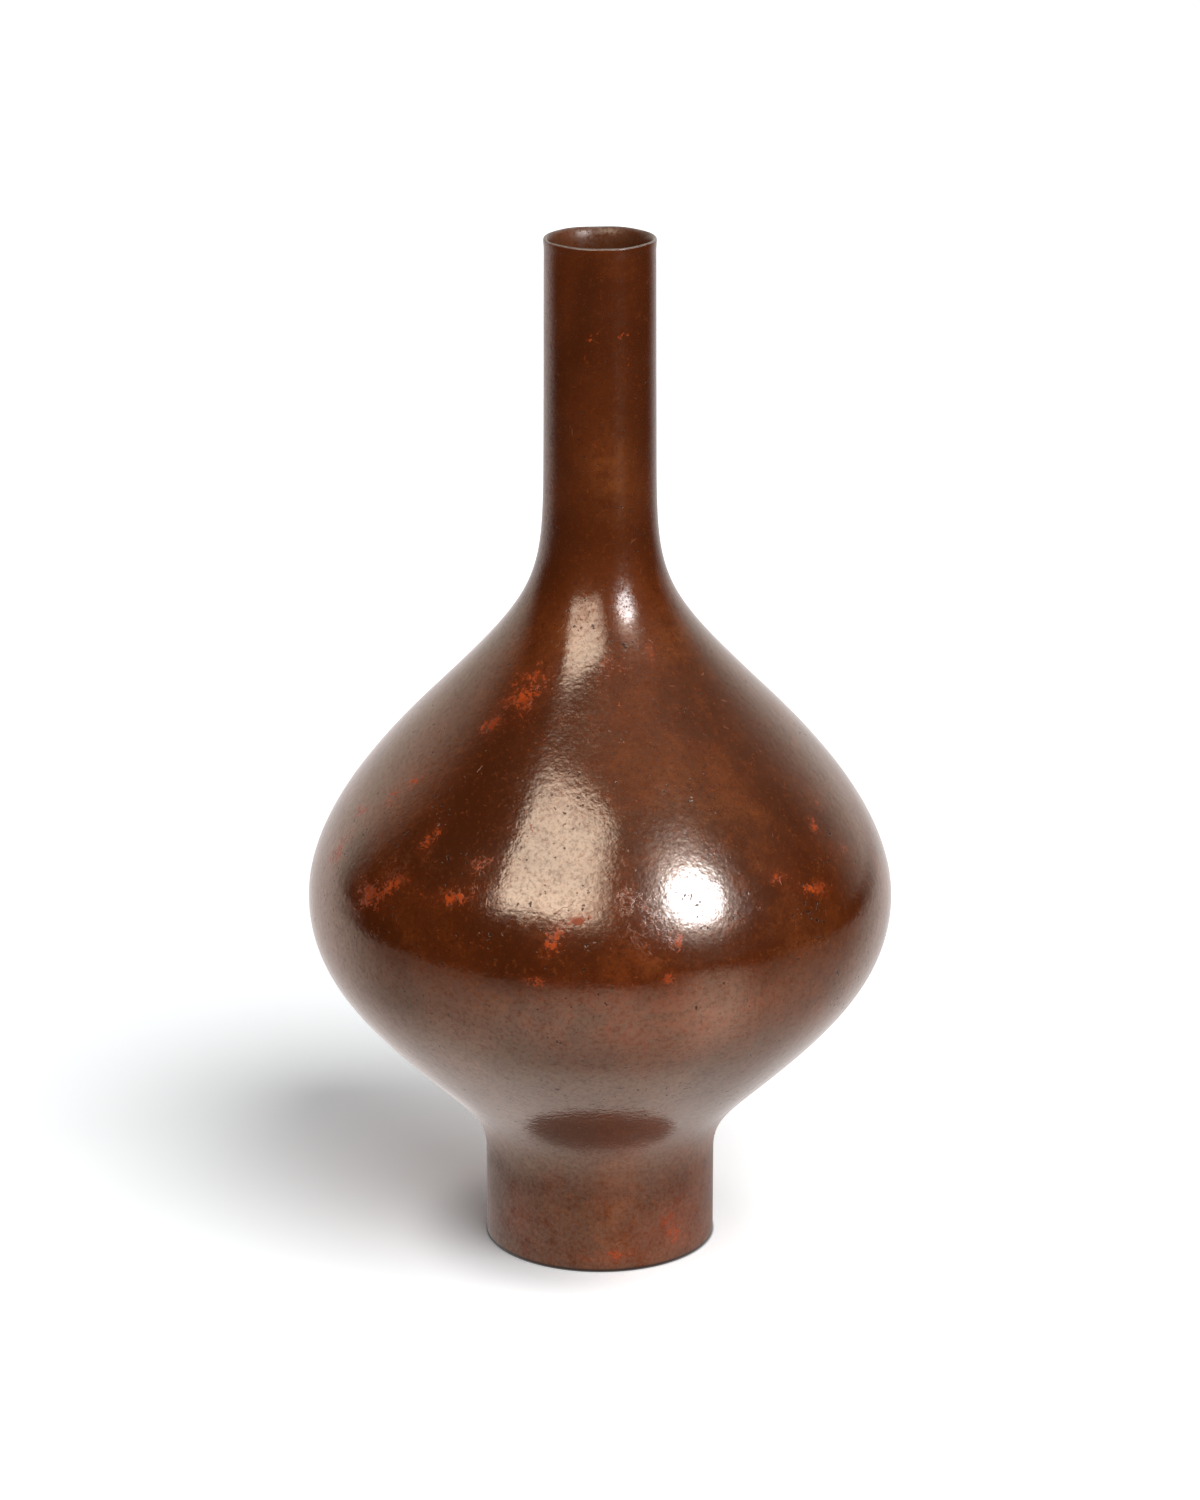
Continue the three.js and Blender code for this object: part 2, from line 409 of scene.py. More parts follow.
# %% Measure the pieces against the frame


def mesh_points(mesh):
    """The points of a mesh, in mm."""
    points = np.empty(3 * len(mesh.vertices))
    mesh.vertices.foreach_get("co", points)
    return 1000 * points.reshape(-1, 3)


def signed_volume(mesh):
    """Sum over the triangles of first corner times the cross product of the other two, over six."""
    mesh.calc_loop_triangles()
    corners = np.empty(3 * len(mesh.loop_triangles), dtype=np.int32)
    mesh.loop_triangles.foreach_get("vertices", corners)
    a, b, c = mesh_points(mesh)[corners.reshape(-1, 3)].transpose(1, 0, 2)
    return float((a * np.cross(b, c)).sum() / 6)


for piece, node_name in ((shell, "vase_shell"), (plate, "base_plate"), (solder, "solder_fillet")):
    points = mesh_points(piece.data)
    node_low, node_high = (np.array(corner) * 1000 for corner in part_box(node_name))
    slip = max(np.abs(points.min(axis=0) - node_low).max(), np.abs(points.max(axis=0) - node_high).max())
    volume = signed_volume(piece.data) / 1000
    if volume <= 0:
        raise ValueError(piece.name + " is inside out")
    print(piece.name, "volume", round(volume, 2), "cm3, box within", round(float(slip), 3), "mm of CAD")

# %% [markdown]
# Where the patina was torched and brushed, the bronze shows orange and brick-red marks. Each one on
# the front is listed as an elongated soft spot: degrees round from the front, height, half length
# and half width in mm, tilt in degrees, and strength. The back gets marks of the same kind from a
# seeded generator. The strength goes into the mesh as an attribute, and the material breaks its
# edges up with noise.

# %% Place the red marks of the patina
FRONT = -90
RUST_MARKS = {
    "shoulder flame": (-32, 177, 8, 5, 75, 1),
    "shoulder flame side": (-39, 175, 5.5, 3, 80, 0.95),
    "shoulder flame tail": (-41, 168, 5.5, 3, 70, 0.9),
    "left shoulder spot": (-57, 151, 4.5, 2.5, 60, 0.8),
    "left shoulder fade": (-61, 146, 5, 3, 80, 0.6),
    "left belly smear": (-42, 140, 5, 2.5, 75, 0.85),
    "left belly flame": (-51, 124, 10, 5, 28, 0.95),
    "left belly speck": (-46, 128, 5, 3, 20, 0.9),
    "left edge bloom": (-71, 129, 7, 4.5, 70, 0.95),
    "left edge speck": (-70, 139, 3.5, 2, 10, 0.85),
    "front left streak": (-31, 128, 8, 3, 15, 0.8),
    "front left speck": (-27, 137, 3.5, 2, 40, 0.75),
    "front left dot": (-23, 139, 2, 1.5, 0, 0.6),
    "front streak": (-9, 121, 6, 3, 55, 0.85),
    "front dash": (-4, 126, 3, 1.5, 10, 1.5),
    "front low smear": (-11, 109, 5, 1.5, -5, 0.8),
    "front low dot": (13, 110, 2, 1.5, 80, 1.4),
    "front veil low": (10, 118, 6, 4, 40, 0.5),
    "front veil middle": (8, 125, 7, 4.5, 60, 0.25),
    "front veil high": (5, 133, 6.5, 3.5, 80, 0.25),
    "front red tick": (15, 119, 3, 1, 80, 1.5),
    "right belly dash": (41, 131, 5, 2, -15, 0.85),
    "right belly streak": (48, 126, 8, 2.5, -20, 0.9),
    "right shoulder dot": (64, 143, 2.5, 1.5, 0, 0.6),
    "right shoulder speck": (57, 139, 5, 2, 75, 0.75),
    "right edge line": (63, 131, 5, 1.5, -10, 0.85),
    "right shoulder fleck": (34, 164, 2, 1.5, 0, 0.6),
    "middle fleck": (7, 172, 2, 1.5, 0, 0.5),
    "upper streak": (29, 186, 5, 1.5, 82, 0.6),
    "strip tint": (4, 184, 6, 4, 60, 0.4),
    "foot spot": (37, 15, 4, 3.5, 60, 0.8),
    "foot spot low": (40, 9, 6, 3.5, -40, 0.7),
    "foot edge smear": (4, 5, 8, 1.5, 0, 0.75),
    "foot fleck": (2, 24, 4, 2, 30, 0.45),
    "oval fleck": (20, 50, 3, 2, 0, 0.5),
}

marks = list(RUST_MARKS.values())
rng = np.random.default_rng(7)
for around in rng.uniform(95, 265, 30):
    height = rng.triangular(10, 130, 215)
    half_length = rng.uniform(2.5, 10)
    half_width = half_length * rng.uniform(0.35, 0.6)
    tilt = rng.uniform(0, 90)
    strength = rng.uniform(0.4, 1)
    marks.append((around, height, half_length, half_width, tilt, strength))
print("red marks:", len(RUST_MARKS), "on the front and", len(marks) - len(RUST_MARKS), "on the back")

# %% Work out their strength on every point of the shell
outer_outline = outline[:outer_rows]
steps_along = np.linalg.norm(np.diff(outer_outline, axis=0), axis=1)
travel = np.concatenate([[0], np.cumsum(steps_along)])


def soft_spot(around, height, half_length, half_width, tilt, strength):
    """Strength exp(-(u/length)^2 - (v/width)^2), with u and v along the surface, turned by tilt."""
    turn = (direction_of[:outer_rows] - math.radians(around + FRONT) + math.pi) % (2 * math.pi) - math.pi
    east = turn * outer_outline[:, 0][:, None]
    north = (travel - np.interp(height, outer_outline[:, 1], travel))[:, None]
    cosine, sine = math.cos(math.radians(tilt)), math.sin(math.radians(tilt))
    u = east * cosine + north * sine
    v = north * cosine - east * sine
    return strength * np.exp(-((u / half_length) ** 2) - (v / half_width) ** 2)


def highest_spot(spots):
    """The highest of some soft spots at every point of the shell."""
    level = np.zeros((len(outline), COLUMNS))
    for spot in spots:
        level[:outer_rows] = np.maximum(level[:outer_rows], soft_spot(*spot))
    return level


rust = highest_spot(marks)
add_attribute(shell, "rust", rust)
print("share of the outside with red marks:", round(float((rust[:outer_rows] > 0.4).mean()), 4))

# %% [markdown]
# Besides the red marks there are broad clouds, placed in the same way: ochre ones, red veils and dark
# ones. Below the highlights the old wax has crazed into fine wrinkles. The lip and the land that the
# vase stands on are rubbed, and the pale line on the lip is partly a painted reflection. The inside
# was never polished below the mouth. All of these go in as attributes too, so that the finish can
# follow the surface.

# %% Mark the clouds and the crazed wax
OCHRE_CLOUDS = {
    "neck band": (12, 235, 14, 7, 90, 0.5),
    "neck foot": (50, 187, 11, 6, 70, 0.5),
    "right shoulder": (26, 152, 22, 13, -40, 0.4),
    "belly": (10, 114, 3, 2.5, 10, 0.6),
    "right belly": (45, 112, 18, 9, -15, 0.3),
    "lower belly": (5, 80, 30, 12, 0, 0.4),
    "foot middle": (0, 17, 14, 8, 0, 0.5),
    "left shoulder": (-20, 190, 9, 5, 70, 0.4),
    "back": (170, 150, 26, 12, 30, 0.8),
    "back neck": (200, 250, 18, 9, 90, 0.7),
    "back belly": (215, 95, 30, 12, 0, 0.6),
    "right side": (100, 120, 22, 9, 20, 0.6),
    "left side": (-110, 105, 20, 9, -20, 0.6),
}
RED_VEILS = {
    "lower belly": (14, 95, 46, 14, 0, 1),
    "lower right": (60, 100, 26, 14, 10, 0.3),
    "above the foot": (10, 40, 24, 9, 0, 0.5),
    "foot left": (-45, 12, 12, 10, 0, 0.6),
    "foot right": (38, 12, 10, 8, 0, 0.7),
    "back": (165, 95, 60, 22, 0, 0.9),
    "left back": (-120, 120, 30, 16, 20, 0.6),
}
DARK_CLOUDS = {
    "left of the softbox": (-36, 148, 30, 15, 65, 0.75),
    "below the softbox": (-12, 118, 18, 6, 0, 0.4),
    "lower left": (-48, 92, 22, 12, 0, 0.55),
    "right belly": (58, 117, 16, 12, 0, 0.4),
    "foot left": (-30, 14, 9, 12, 0, 0.4),
    "neck": (0, 262, 60, 34, 0, 0.3),
    "neck left": (-50, 262, 34, 6, 90, 0.5),
    "foot of the neck": (0, 217, 45, 14, 0, 0.7),
    "back of the neck": (180, 217, 45, 14, 0, 0.6),
    "back belly": (150, 130, 30, 15, 40, 0.5),
}
CRAZED_PATCHES = {
    "below the softbox": (-10, 124, 12, 3.5, 0, 0.45),
    "below the lamp": (9, 124, 13, 7, -50, 0.85),
    "softbox corner": (-21, 128, 5, 4, 30, 0.65),
    "left belly": (-48, 130, 14, 6, 30, 0.5),
    "foot of the neck": (-11, 198, 7, 4, 80, 0.5),
    "back": (150, 120, 26, 12, 20, 0.9),
    "left back": (-130, 140, 20, 10, 40, 0.7),
}

clouds = {"ochre": OCHRE_CLOUDS, "dark": DARK_CLOUDS, "veil": RED_VEILS, "crazed": CRAZED_PATCHES}
for attribute_name, table in clouds.items():
    add_attribute(shell, attribute_name, highest_spot(table.values()))
print("clouds and patches:", {name: len(table) for name, table in clouds.items()})

# %% Mark the rubbed edges and the inside
MOUTH_GETS_BRIGHTER = (284, 293)

section_starts = np.cumsum([0] + [len(rows) for rows in sections.values()])
first_row = dict(zip(sections, section_starts.tolist()))
lip_row, mouth_row, land_row = first_row["lip"], first_row["mouth"], first_row["land"]
towards_lip = smooth_step(outline[:, 1], *MOUTH_GETS_BRIGHTER)
is_inside = np.zeros(len(outline))
is_inside[mouth_row:land_row] = 1 - 0.7 * towards_lip[mouth_row:land_row]
rubbed_and_sheen = np.zeros(len(outline))
# On the lip and in the first rows of the mouth this mask also carries a painted reflection: the pale line
# there stands in for the white mirrored in it.
rubbed_and_sheen[lip_row + 3 : mouth_row] = 1
rubbed_and_sheen[mouth_row : mouth_row + 2] = 0.4
rubbed_and_sheen[land_row:] = 1
for attribute_name, level in (("inside", is_inside), ("rubbed", rubbed_and_sheen)):
    add_attribute(shell, attribute_name, np.repeat(level[:, None], COLUMNS, axis=1))
print("inside rows:", int((is_inside > 0.5).sum()), "of", len(outline), "- rubbed:", int(rubbed_and_sheen.sum()))

# %% [markdown]
# The materials are trees of nodes. These helpers keep the trees short to write: each adds a node to
# the tree that its inputs come from, joins it up and hands back its output. Patterns are asked for
# by the size of their features in millimetres and follow the Object coordinates, so they sit in the
# metal like real marks and don't slide.

# %% Define the helpers for node trees
BLACK = (0, 0, 0)
WHITE = (1, 1, 1)


def is_output(value):
    """Whether a value is the output of a node, and not a plain number or colour."""
    return isinstance(value, bpy.types.NodeSocket)


def feed(node, inputs):
    """Links outputs to a node's inputs, or writes plain numbers, colours and vectors on them."""
    for name, value in inputs.items():
        socket = node.inputs[name]
        if is_output(value):
            node.id_data.links.new(value, socket)
        elif socket.type == "RGBA":
            socket.default_value = (*value, 1)
        else:
            socket.default_value = value


def add_node(kind, output, inputs, **settings):
    """A new node in the tree of its inputs, set up and fed. Hands back one of its outputs."""
    tree = next(value.id_data for value in inputs.values() if is_output(value))
    node = tree.nodes.new("ShaderNode" + kind)
    for name, value in settings.items():
        setattr(node, name, value)
    feed(node, inputs)
    return node.outputs[output]


def new_finish(piece, name, kind="BsdfPrincipled"):
    """Gives a piece a material. Hands back its tree, its shader and the places on the piece."""
    material = bpy.data.materials.new(name)
    material.use_nodes = True
    material.cycles.emission_sampling = "NONE"
    piece.data.materials.append(material)
    tree = material.node_tree
    tree.nodes.clear()
    shader = tree.nodes.new("ShaderNode" + kind)
    feed(tree.nodes.new("ShaderNodeOutputMaterial"), {"Surface": shader.outputs[0]})
    return tree, shader, tree.nodes.new("ShaderNodeTexCoord").outputs["Object"]


def attribute(tree, name):
    """A number that the mesh carries on its points."""
    node = tree.nodes.new("ShaderNodeAttribute")
    node.attribute_name = name
    return node.outputs["Fac"]


def parts_of(place):
    """The x, y and z of a place."""
    return tuple(add_node("SeparateXYZ", "X", {"Vector": place}).node.outputs)


def length_of(place):
    """The distance between a place and the origin."""
    return add_node("VectorMath", "Value", {0: place}, operation="LENGTH")


def stretched(place, stretch):
    """The place scaled along x, y and z, which draws a pattern out along the axis with the least."""
    return add_node("Mapping", "Vector", {"Vector": place, "Scale": stretch})


def noise(place, size_mm, detail=3, roughness=0.55, distortion=0):
    """Cloudy noise around 0.5, whose blobs are about size_mm across."""
    look = {"Detail": detail, "Roughness": roughness, "Distortion": distortion}
    return add_node("TexNoise", "Fac", {"Vector": place, "Scale": 1000 / size_mm, **look})


def window(value, low, high, to_low=0, to_high=1):
    """A smooth step: to_low where the value is at low, to_high where it is at high."""
    inputs = {"Value": value, "From Min": low, "From Max": high, "To Min": to_low, "To Max": to_high}
    return add_node("MapRange", "Result", inputs, interpolation_type="SMOOTHSTEP")


def maths(operation, first, second=0):
    """One Math node."""
    return add_node("Math", "Value", {0: first, 1: second}, operation=operation)


plus = partial(maths, "ADD")
minus = partial(maths, "SUBTRACT")
times = partial(maths, "MULTIPLY")
over = partial(maths, "DIVIDE")
higher = partial(maths, "MAXIMUM")


def off(value, middle):
    """How far a value is from a middle."""
    return maths("ABSOLUTE", minus(value, middle))


def between(share, first, second):
    """The number first + share (second - first)."""
    return plus(first, times(share, minus(second, first)))


def ridges(value, width):
    """Thin lines where a noise crosses its middle: 1 on the line, 0 at the width from it."""
    return window(off(value, 0.5), width, 0.2 * width)


def blend(share, first, second):
    """The first colour where the share is 0 and the second where it is 1."""
    return add_node("Mix", "Result", {"Factor": share, "A": first, "B": second}, data_type="RGBA")


def layered(colour, layers):
    """A colour with layers over it, each a share and the colour that shows there."""
    for share, layer in layers:
        colour = blend(share, colour, layer)
    return colour


def bump(height, depth_mm, below=None):
    """Relief of a real depth in mm, on top of the relief below it."""
    inputs = {"Height": height, "Distance": depth_mm / 1000, "Strength": 1}
    if below is not None:
        inputs["Normal"] = below
    return add_node("Bump", "Normal", inputs)


print("helpers ready")

# %% [markdown]
# The patina is a thin brown skin that chemicals and heat grew on the bronze, under clear wax. Light
# is scattered by the skin, reflected with a warm tint by the metal under it, and reflected without
# one by the wax. A Principled shader holds all three: the base colour scatters, a high index of
# refraction with a copper-coloured specular tint stands for the filmed metal, and the coat is the
# wax. A fully metallic base would lose the brown where the studio is dark. Much of the finish
# changes with the height on the vase, for which by_height gives a smooth step in millimetres.

# %% Start the patina with its gloss
PATINA_TINT = (1, 0.78, 0.58)
PATINA_INDEX = 2.3
WAX_COAT = {"Coat Weight": 0.08, "Coat Roughness": 0.24, "Coat IOR": 1.45}

tree, skin, place = new_finish(shell, "waxed_patina")
feed(skin, {"Metallic": 0, "IOR": PATINA_INDEX, **WAX_COAT})
by_height = partial(window, times(parts_of(place)[2], 1000))
head_on_gloss = ((PATINA_INDEX - 1) / (PATINA_INDEX + 1)) ** 2
print("gloss of the patina at right angles:", round(head_on_gloss, 3))

# %% [markdown]
# The brown is never even. Broad clouds turn it from nearly black to chestnut, a mottle down to a
# millimetre breaks them up, and the ochre, red and dark clouds lie over it where their attributes
# say. The neck is the evenest part and the foot the most uneven, and a painted sheen of pale mauve
# greys the hollow above the foot. A single noise would look like marble.

# %% Mix the browns
DEEP_BROWN = (0.05, 0.0095, 0.0018)
CHESTNUT = (0.112, 0.022, 0.004)
TAN_BROWN = (0.155, 0.0335, 0.006)
OCHRE_BROWN = (0.175, 0.046, 0.009)
VEIL_RED = (0.26, 0.038, 0.009)
PAINTED_SHEEN_MAUVE = (0.2, 0.1, 0.07)
ABOVE_FOOT = (24, 44)

broad = noise(place, 38, detail=2, distortion=0.5)
mottle = noise(place, 11, detail=6, roughness=0.8, distortion=0.3)
veil_noise = noise(place, 16, detail=5, roughness=0.75, distortion=0.4)
ochre_noise = noise(place, 4.5, detail=5, roughness=0.8)
speckle = noise(place, 1.5, detail=2, roughness=0.8)
on_body = by_height(215, 185, 0.55, 1)
mottled = times(on_body, by_height(*ABOVE_FOOT, 1.6, 1))
speck_strength = by_height(*ABOVE_FOOT, 0.25, 0.66)
# Painted sheen: a pale mauve greys the hollow above the foot, where a soft reflection shows.
painted_sheen = times(by_height(66, 54, 0, 0.2), by_height(38, 48))
brown_layers = (
    (times(window(mottle, 0.32, 0.6, 0.45, 0), mottled), DEEP_BROWN),
    (times(window(mottle, 0.5, 0.74, 0, 0.55), mottled), TAN_BROWN),
    (times(window(veil_noise, 0.38, 0.68, 0.08, 0.5), attribute(tree, "veil")), VEIL_RED),
    (attribute(tree, "dark"), DEEP_BROWN),
    (times(window(ochre_noise, 0.34, 0.64), attribute(tree, "ochre")), OCHRE_BROWN),
    (times(window(speckle, 0.44, 0.3, 0, speck_strength), on_body), DEEP_BROWN),
    (painted_sheen, PAINTED_SHEEN_MAUVE),
    (times(window(speckle, 0.56, 0.74, 0, 0.62), mottled), TAN_BROWN),
)
brown = layered(blend(window(broad, 0.32, 0.68, 0.1, 0.9), DEEP_BROWN, CHESTNUT), brown_layers)
print("browns mixed from", len(brown_layers), "layers")

# %% [markdown]
# A red mark is no solid patch: it is a lace of small flakes, dense in its middle and sparse round
# it, over a faint red stain. So the mark's strength sets how much of a flaky noise shows, and a
# coarser noise gathers the flakes into clumps.

# %% Break the red marks up into flakes
ORANGE_RED = (0.34, 0.045, 0.006)
BRICK_RED = (0.2, 0.028, 0.005)

rust_level = attribute(tree, "rust")
flakes = noise(place, 1.8, detail=4, roughness=0.7, distortion=1.4)
clumps = noise(place, 6, detail=2)
flake_level = plus(plus(flakes, times(rust_level, 0.3)), times(clumps, 0.45))
flake_share = window(flake_level, 0.91, 1.03, 0, 0.95)
stain_share = times(rust_level, window(clumps, 0.35, 0.65, 0.15, 0.55))
red_kind = window(noise(place, 8, detail=2), 0.38, 0.58)
red = blend(red_kind, BRICK_RED, ORANGE_RED)
reddened = layered(brown, ((stain_share, BRICK_RED), (flake_share, red)))
print("red flakes set")

# %% [markdown]
# The lip and the foot's land are rubbed, and the bronze shines through in a line that comes and
# goes; on the lip that pale line is also a painted reflection of the white behind the vase. A
# painted shade darkens the bottom edge of the foot, where it meets the floor, and soil darkens the
# casting's small pits, which gather in groups. The wrinkles of the crazed wax and a few hair-thin
# scratches are drawn as lines where a noise crosses its middle. The inside is dull brown.

# %% Add the wear, the pits, the wrinkles and the inside
# The lip's pale grey is partly worn bronze and partly a painted reflection of the white behind the vase.
LIP_WEAR_AND_SHEEN = (0.19, 0.145, 0.115)
RUBBED_FOOT = (0.3, 0.105, 0.035)
# Dark brown for the pits, and for the painted shade at the foot's bottom edge.
PIT_AND_SHADE_BROWN = (0.012, 0.005, 0.003)
INSIDE_BROWN = (0.1, 0.042, 0.018)
WRINKLE_PALE = (0.24, 0.075, 0.035)

wear = window(noise(place, 2.5, detail=4, roughness=0.7), 0.32, 0.6, 0.35, 0.95)
worn_and_sheen = times(attribute(tree, "rubbed"), wear)
bare_and_sheen = blend(by_height(100, 200), RUBBED_FOOT, LIP_WEAR_AND_SHEEN)
# Painted shade: the foot's bottom edge, where it meets the floor, is darkened and loses its reflection.
painted_edge_shade = by_height(1.5, 0.6, 0, 0.9)

pit_groups = times(window(noise(place, 13, detail=2), 0.46, 0.66, 0, 0.1), on_body)
pit_level = plus(noise(place, 1.3, detail=1, roughness=0.5), pit_groups)
pits = times(window(pit_level, 0.75, 0.82), by_height(28, 50))

wrinkle_noise = noise(place, 2.3, detail=3, roughness=0.62, distortion=0.7)
crazed = times(attribute(tree, "crazed"), window(clumps, 0.36, 0.54))
hair_noise = noise(stretched(place, (1, 1, 0.45)), 17, detail=1, distortion=0.8)
hairs = times(ridges(hair_noise, 0.006), window(noise(place, 9, detail=2), 0.64, 0.7))
lines = higher(times(ridges(wrinkle_noise, 0.045), crazed), hairs)

inside_share = attribute(tree, "inside")
wear_layers = (
    (painted_edge_shade, PIT_AND_SHADE_BROWN),
    (worn_and_sheen, bare_and_sheen),
    (times(pits, 0.85), PIT_AND_SHADE_BROWN),
    (times(lines, 0.55), WRINKLE_PALE),
    (inside_share, INSIDE_BROWN),
)
feed(skin, {"Base Color": layered(reddened, wear_layers)})
print("wear, pits, wrinkles and inside set")

# %% [markdown]
# The wax is uneven, so the gloss changes slowly over the surface. The foot, which hands and tables
# touch, is much duller, and so are the mouth and the red flakes. Soil, pits, flakes and the painted
# shade at the foot's bottom edge take reflection away, as does the thinner wax at the foot of the
# neck. The relief has four scales: the slow unevenness of the casting, a grain like orange peel and
# a finer one, which fray the edges of the mirrored lamps, and the pits, flakes and wrinkles. The
# first two are calmer on the neck.

# %% Give the patina its roughness and relief
gloss = window(noise(place, 26, detail=4, roughness=0.65), 0.35, 0.65, 0.11, 0.165)
grit = window(noise(place, 1, detail=2, roughness=0.7), 0.56, 0.72, 0, 0.1)
foot_dull = by_height(50, 25, 0, 0.33)
neck_dull = by_height(184, 215, 0, 0.08)
for part in (grit, foot_dull, neck_dull, times(inside_share, 0.45)):
    gloss = plus(gloss, part)
for share, roughness in ((flake_share, 0.2), (pits, 0.3), (lines, 0.26), (worn_and_sheen, 0.3)):
    gloss = higher(gloss, times(share, roughness))

soil_start = by_height(*ABOVE_FOOT, 0.3, 0.42)
soil_strength = by_height(*ABOVE_FOOT, 0.36, 0.5)
fine_soil = noise(place, 1.2, detail=3, roughness=0.75)
smear_noise = noise(place, 6, detail=3, roughness=0.7)
smears = window(smear_noise, 0.44, 0.68, 0, by_height(*ABOVE_FOOT, 0.22, 0.14))
thin_wax = by_height(186, 204, 0, 0.52)
foot_soil = by_height(34, 22, 0, 0.34)
taken = window(fine_soil, soil_start, 0.72, 0, soil_strength)
for part in (smears, thin_wax, foot_soil):
    taken = plus(taken, part)
for share, most in ((pits, 0.75), (flake_share, 0.88), (painted_edge_shade, 0.9)):
    taken = higher(taken, times(share, most))

calmer = by_height(162, 182, 1, 0.5)
slow = times(noise(place, 10, detail=2), calmer)
peel = times(noise(place, 2.4, detail=2, roughness=0.6), calmer)
fine = noise(place, 1.1, detail=1)
flakes_and_pits = minus(times(flake_share, 0.4), pits)
relief = None
for level, depth_mm in ((slow, 0.06), (peel, 0.055), (fine, 0.025), (flakes_and_pits, 0.05), (lines, 0.022)):
    relief = bump(level, depth_mm, relief)
feed(skin, {"Roughness": gloss, "Specular Tint": blend(taken, PATINA_TINT, BLACK), "Normal": relief})
print("patina nodes:", len(tree.nodes))

# %% [markdown]
# The underside plate is bare bronze gone dull. It was faced on a lathe and only handled since, so
# it is metallic, brown and rather rough, darker towards the solder where flux stained it. The rings
# are real relief, so only a little grain is added.

# %% Finish the plate
TURNED_BROWN = (0.2, 0.105, 0.05)
HANDLED_BROWN = (0.1, 0.055, 0.03)
FLUX_BROWN = (0.04, 0.03, 0.022)

tree, dull, place = new_finish(plate, "turned_bronze")
stain = noise(place, 12, detail=4, roughness=0.6)
flux = window(length_of(stretched(place, (1000, 1000, 0))), 24, 28.6)
plate_brown = blend(window(stain, 0.35, 0.7), TURNED_BROWN, HANDLED_BROWN)
feed(dull, {"Base Color": blend(times(flux, 0.75), plate_brown, FLUX_BROWN), "Metallic": 0.75})
plate_grain = bump(noise(place, 0.8, detail=3), 0.01)
feed(dull, {"Roughness": window(stain, 0.3, 0.7, 0.38, 0.55), "Normal": plate_grain})
print("plate finish nodes:", len(tree.nodes))

# %% [markdown]
# Old soft solder is grey, with a skin of oxide that is dull where it is thick and silvery where the
# iron last touched it.

# %% Finish the solder
SILVERY = (0.3, 0.29, 0.27)
OXIDE_GREY = (0.14, 0.13, 0.12)

tree, grey, place = new_finish(solder, "dull_solder")
oxide = noise(place, 3.5, detail=4, roughness=0.65)
feed(grey, {"Base Color": blend(window(oxide, 0.3, 0.7), SILVERY, OXIDE_GREY), "Metallic": 0.85})
solder_grain = bump(noise(place, 1.2, detail=3), 0.04)
feed(grey, {"Roughness": window(oxide, 0.3, 0.7, 0.35, 0.62), "Normal": solder_grain})
print("solder finish nodes:", len(tree.nodes))

# %% [markdown]
# A polished surface shows whatever stands round it, so the studio matters as much as the material.
# The vase stands on a plain white floor. What the camera sees of it is raised to white with the
# Light Path node, which leaves the light on the object as it is, and it still takes the shadow.
# Close round the foot, darkest on its left, a painted shadow darkens it further.

# %% Lay the floor
FLOOR_REACH = 12
FLOOR_CORNERS = [[-1, -1, 0], [1, -1, 0], [1, 1, 0], [-1, 1, 0]]

floor = mesh_object("floor", FLOOR_REACH * np.array(FLOOR_CORNERS), [[0, 1, 2, 3]])
print("floor laid, at height 0")

# %% [markdown]
# In the vase's mirror image the floor isn't even. It is whitest behind the vase and close beside the
# foot; in front it is grey, falls off further and ends half a metre away; and towards the round lamp
# it has a bright sector. So glossy rays read the floor's brightness from a small map of these, the
# camera sees it white with the vase's shadow, and scattered rays get an ordinary white floor.

# %% Map the floor's brightness in reflections


def azimuth_of(x, y):
    """The angle whose tangent is x over -y, in degrees: 0 towards the camera, more to the right."""
    return maths("DEGREES", maths("ARCTAN2", x, times(y, -1)))


def floor_map(place):
    """The floor's grey: a front part, one beside the foot, one behind and a bright sector.

    Each is made of smooth steps, in metres and degrees. The part behind is told by the sine of the
    direction, y over the distance, and its border moves backwards with distance.
    """
    x, y = parts_of(place)[:2]
    away = length_of(place)
    azimuth = azimuth_of(x, y)
    ellipse = length_of(stretched(place, (0.65, 1, 1)))
    near_axis = window(off(x, 0), 0.02, 0.2, 1, 0.64)
    fading = times(window(away, 0.16, 0.5, 0.75, 0.3), near_axis)
    front = times(fading, window(ellipse, 0.42, 0.6, 1, 0))
    at_foot = window(away, 0.055, 0.09, 0.85, 0.5)
    beside = window(off(azimuth, 0), 10, 70, at_foot, 1)
    beside = times(beside, window(x, 0.02, 0.08, 1, 0.74))
    front = between(window(away, 0.17, 0.06), front, beside)
    sine = minus(over(y, away), window(x, 0.08, 0.35, 0, 0.28))
    border_start = window(away, 0.25, 1.2, -0.25, 0.15)
    border_end = window(away, 0.25, 1.2, 0.52, 0.72)
    white = window(away, 0.03, 0.1, 0.85, 1.04)
    level = between(window(sine, border_start, border_end), front, white)
    nearer = window(away, 0.06, 0.2, 0.05, 0.58)
    sector = times(window(off(azimuth, 41), 19, 2), times(nearer, window(away, 1.5, 0.45)))
    return plus(level, sector)


# %% Paint the floor for each kind of ray
FLOOR_SEEN = (1.98, 2.03, 2.05)
FLOOR_GIVES = (0.9, 0.9, 0.9)
ROSY_LEFT = (1.02, 0.95, 0.94)
ROSY_RIGHT = (1, 0.96, 0.95)

tree, choice, place = new_finish(floor, "white_floor", "MixShader")
path = tree.nodes.new("ShaderNodeLightPath").outputs
from_axis = length_of(place)
to_right = parts_of(place)[0]
glow_colour = blend(window(to_right, -0.3, 0.3), ROSY_LEFT, ROSY_RIGHT)
glow = add_node("Emission", "Emission", {"Strength": floor_map(place), "Color": glow_colour})
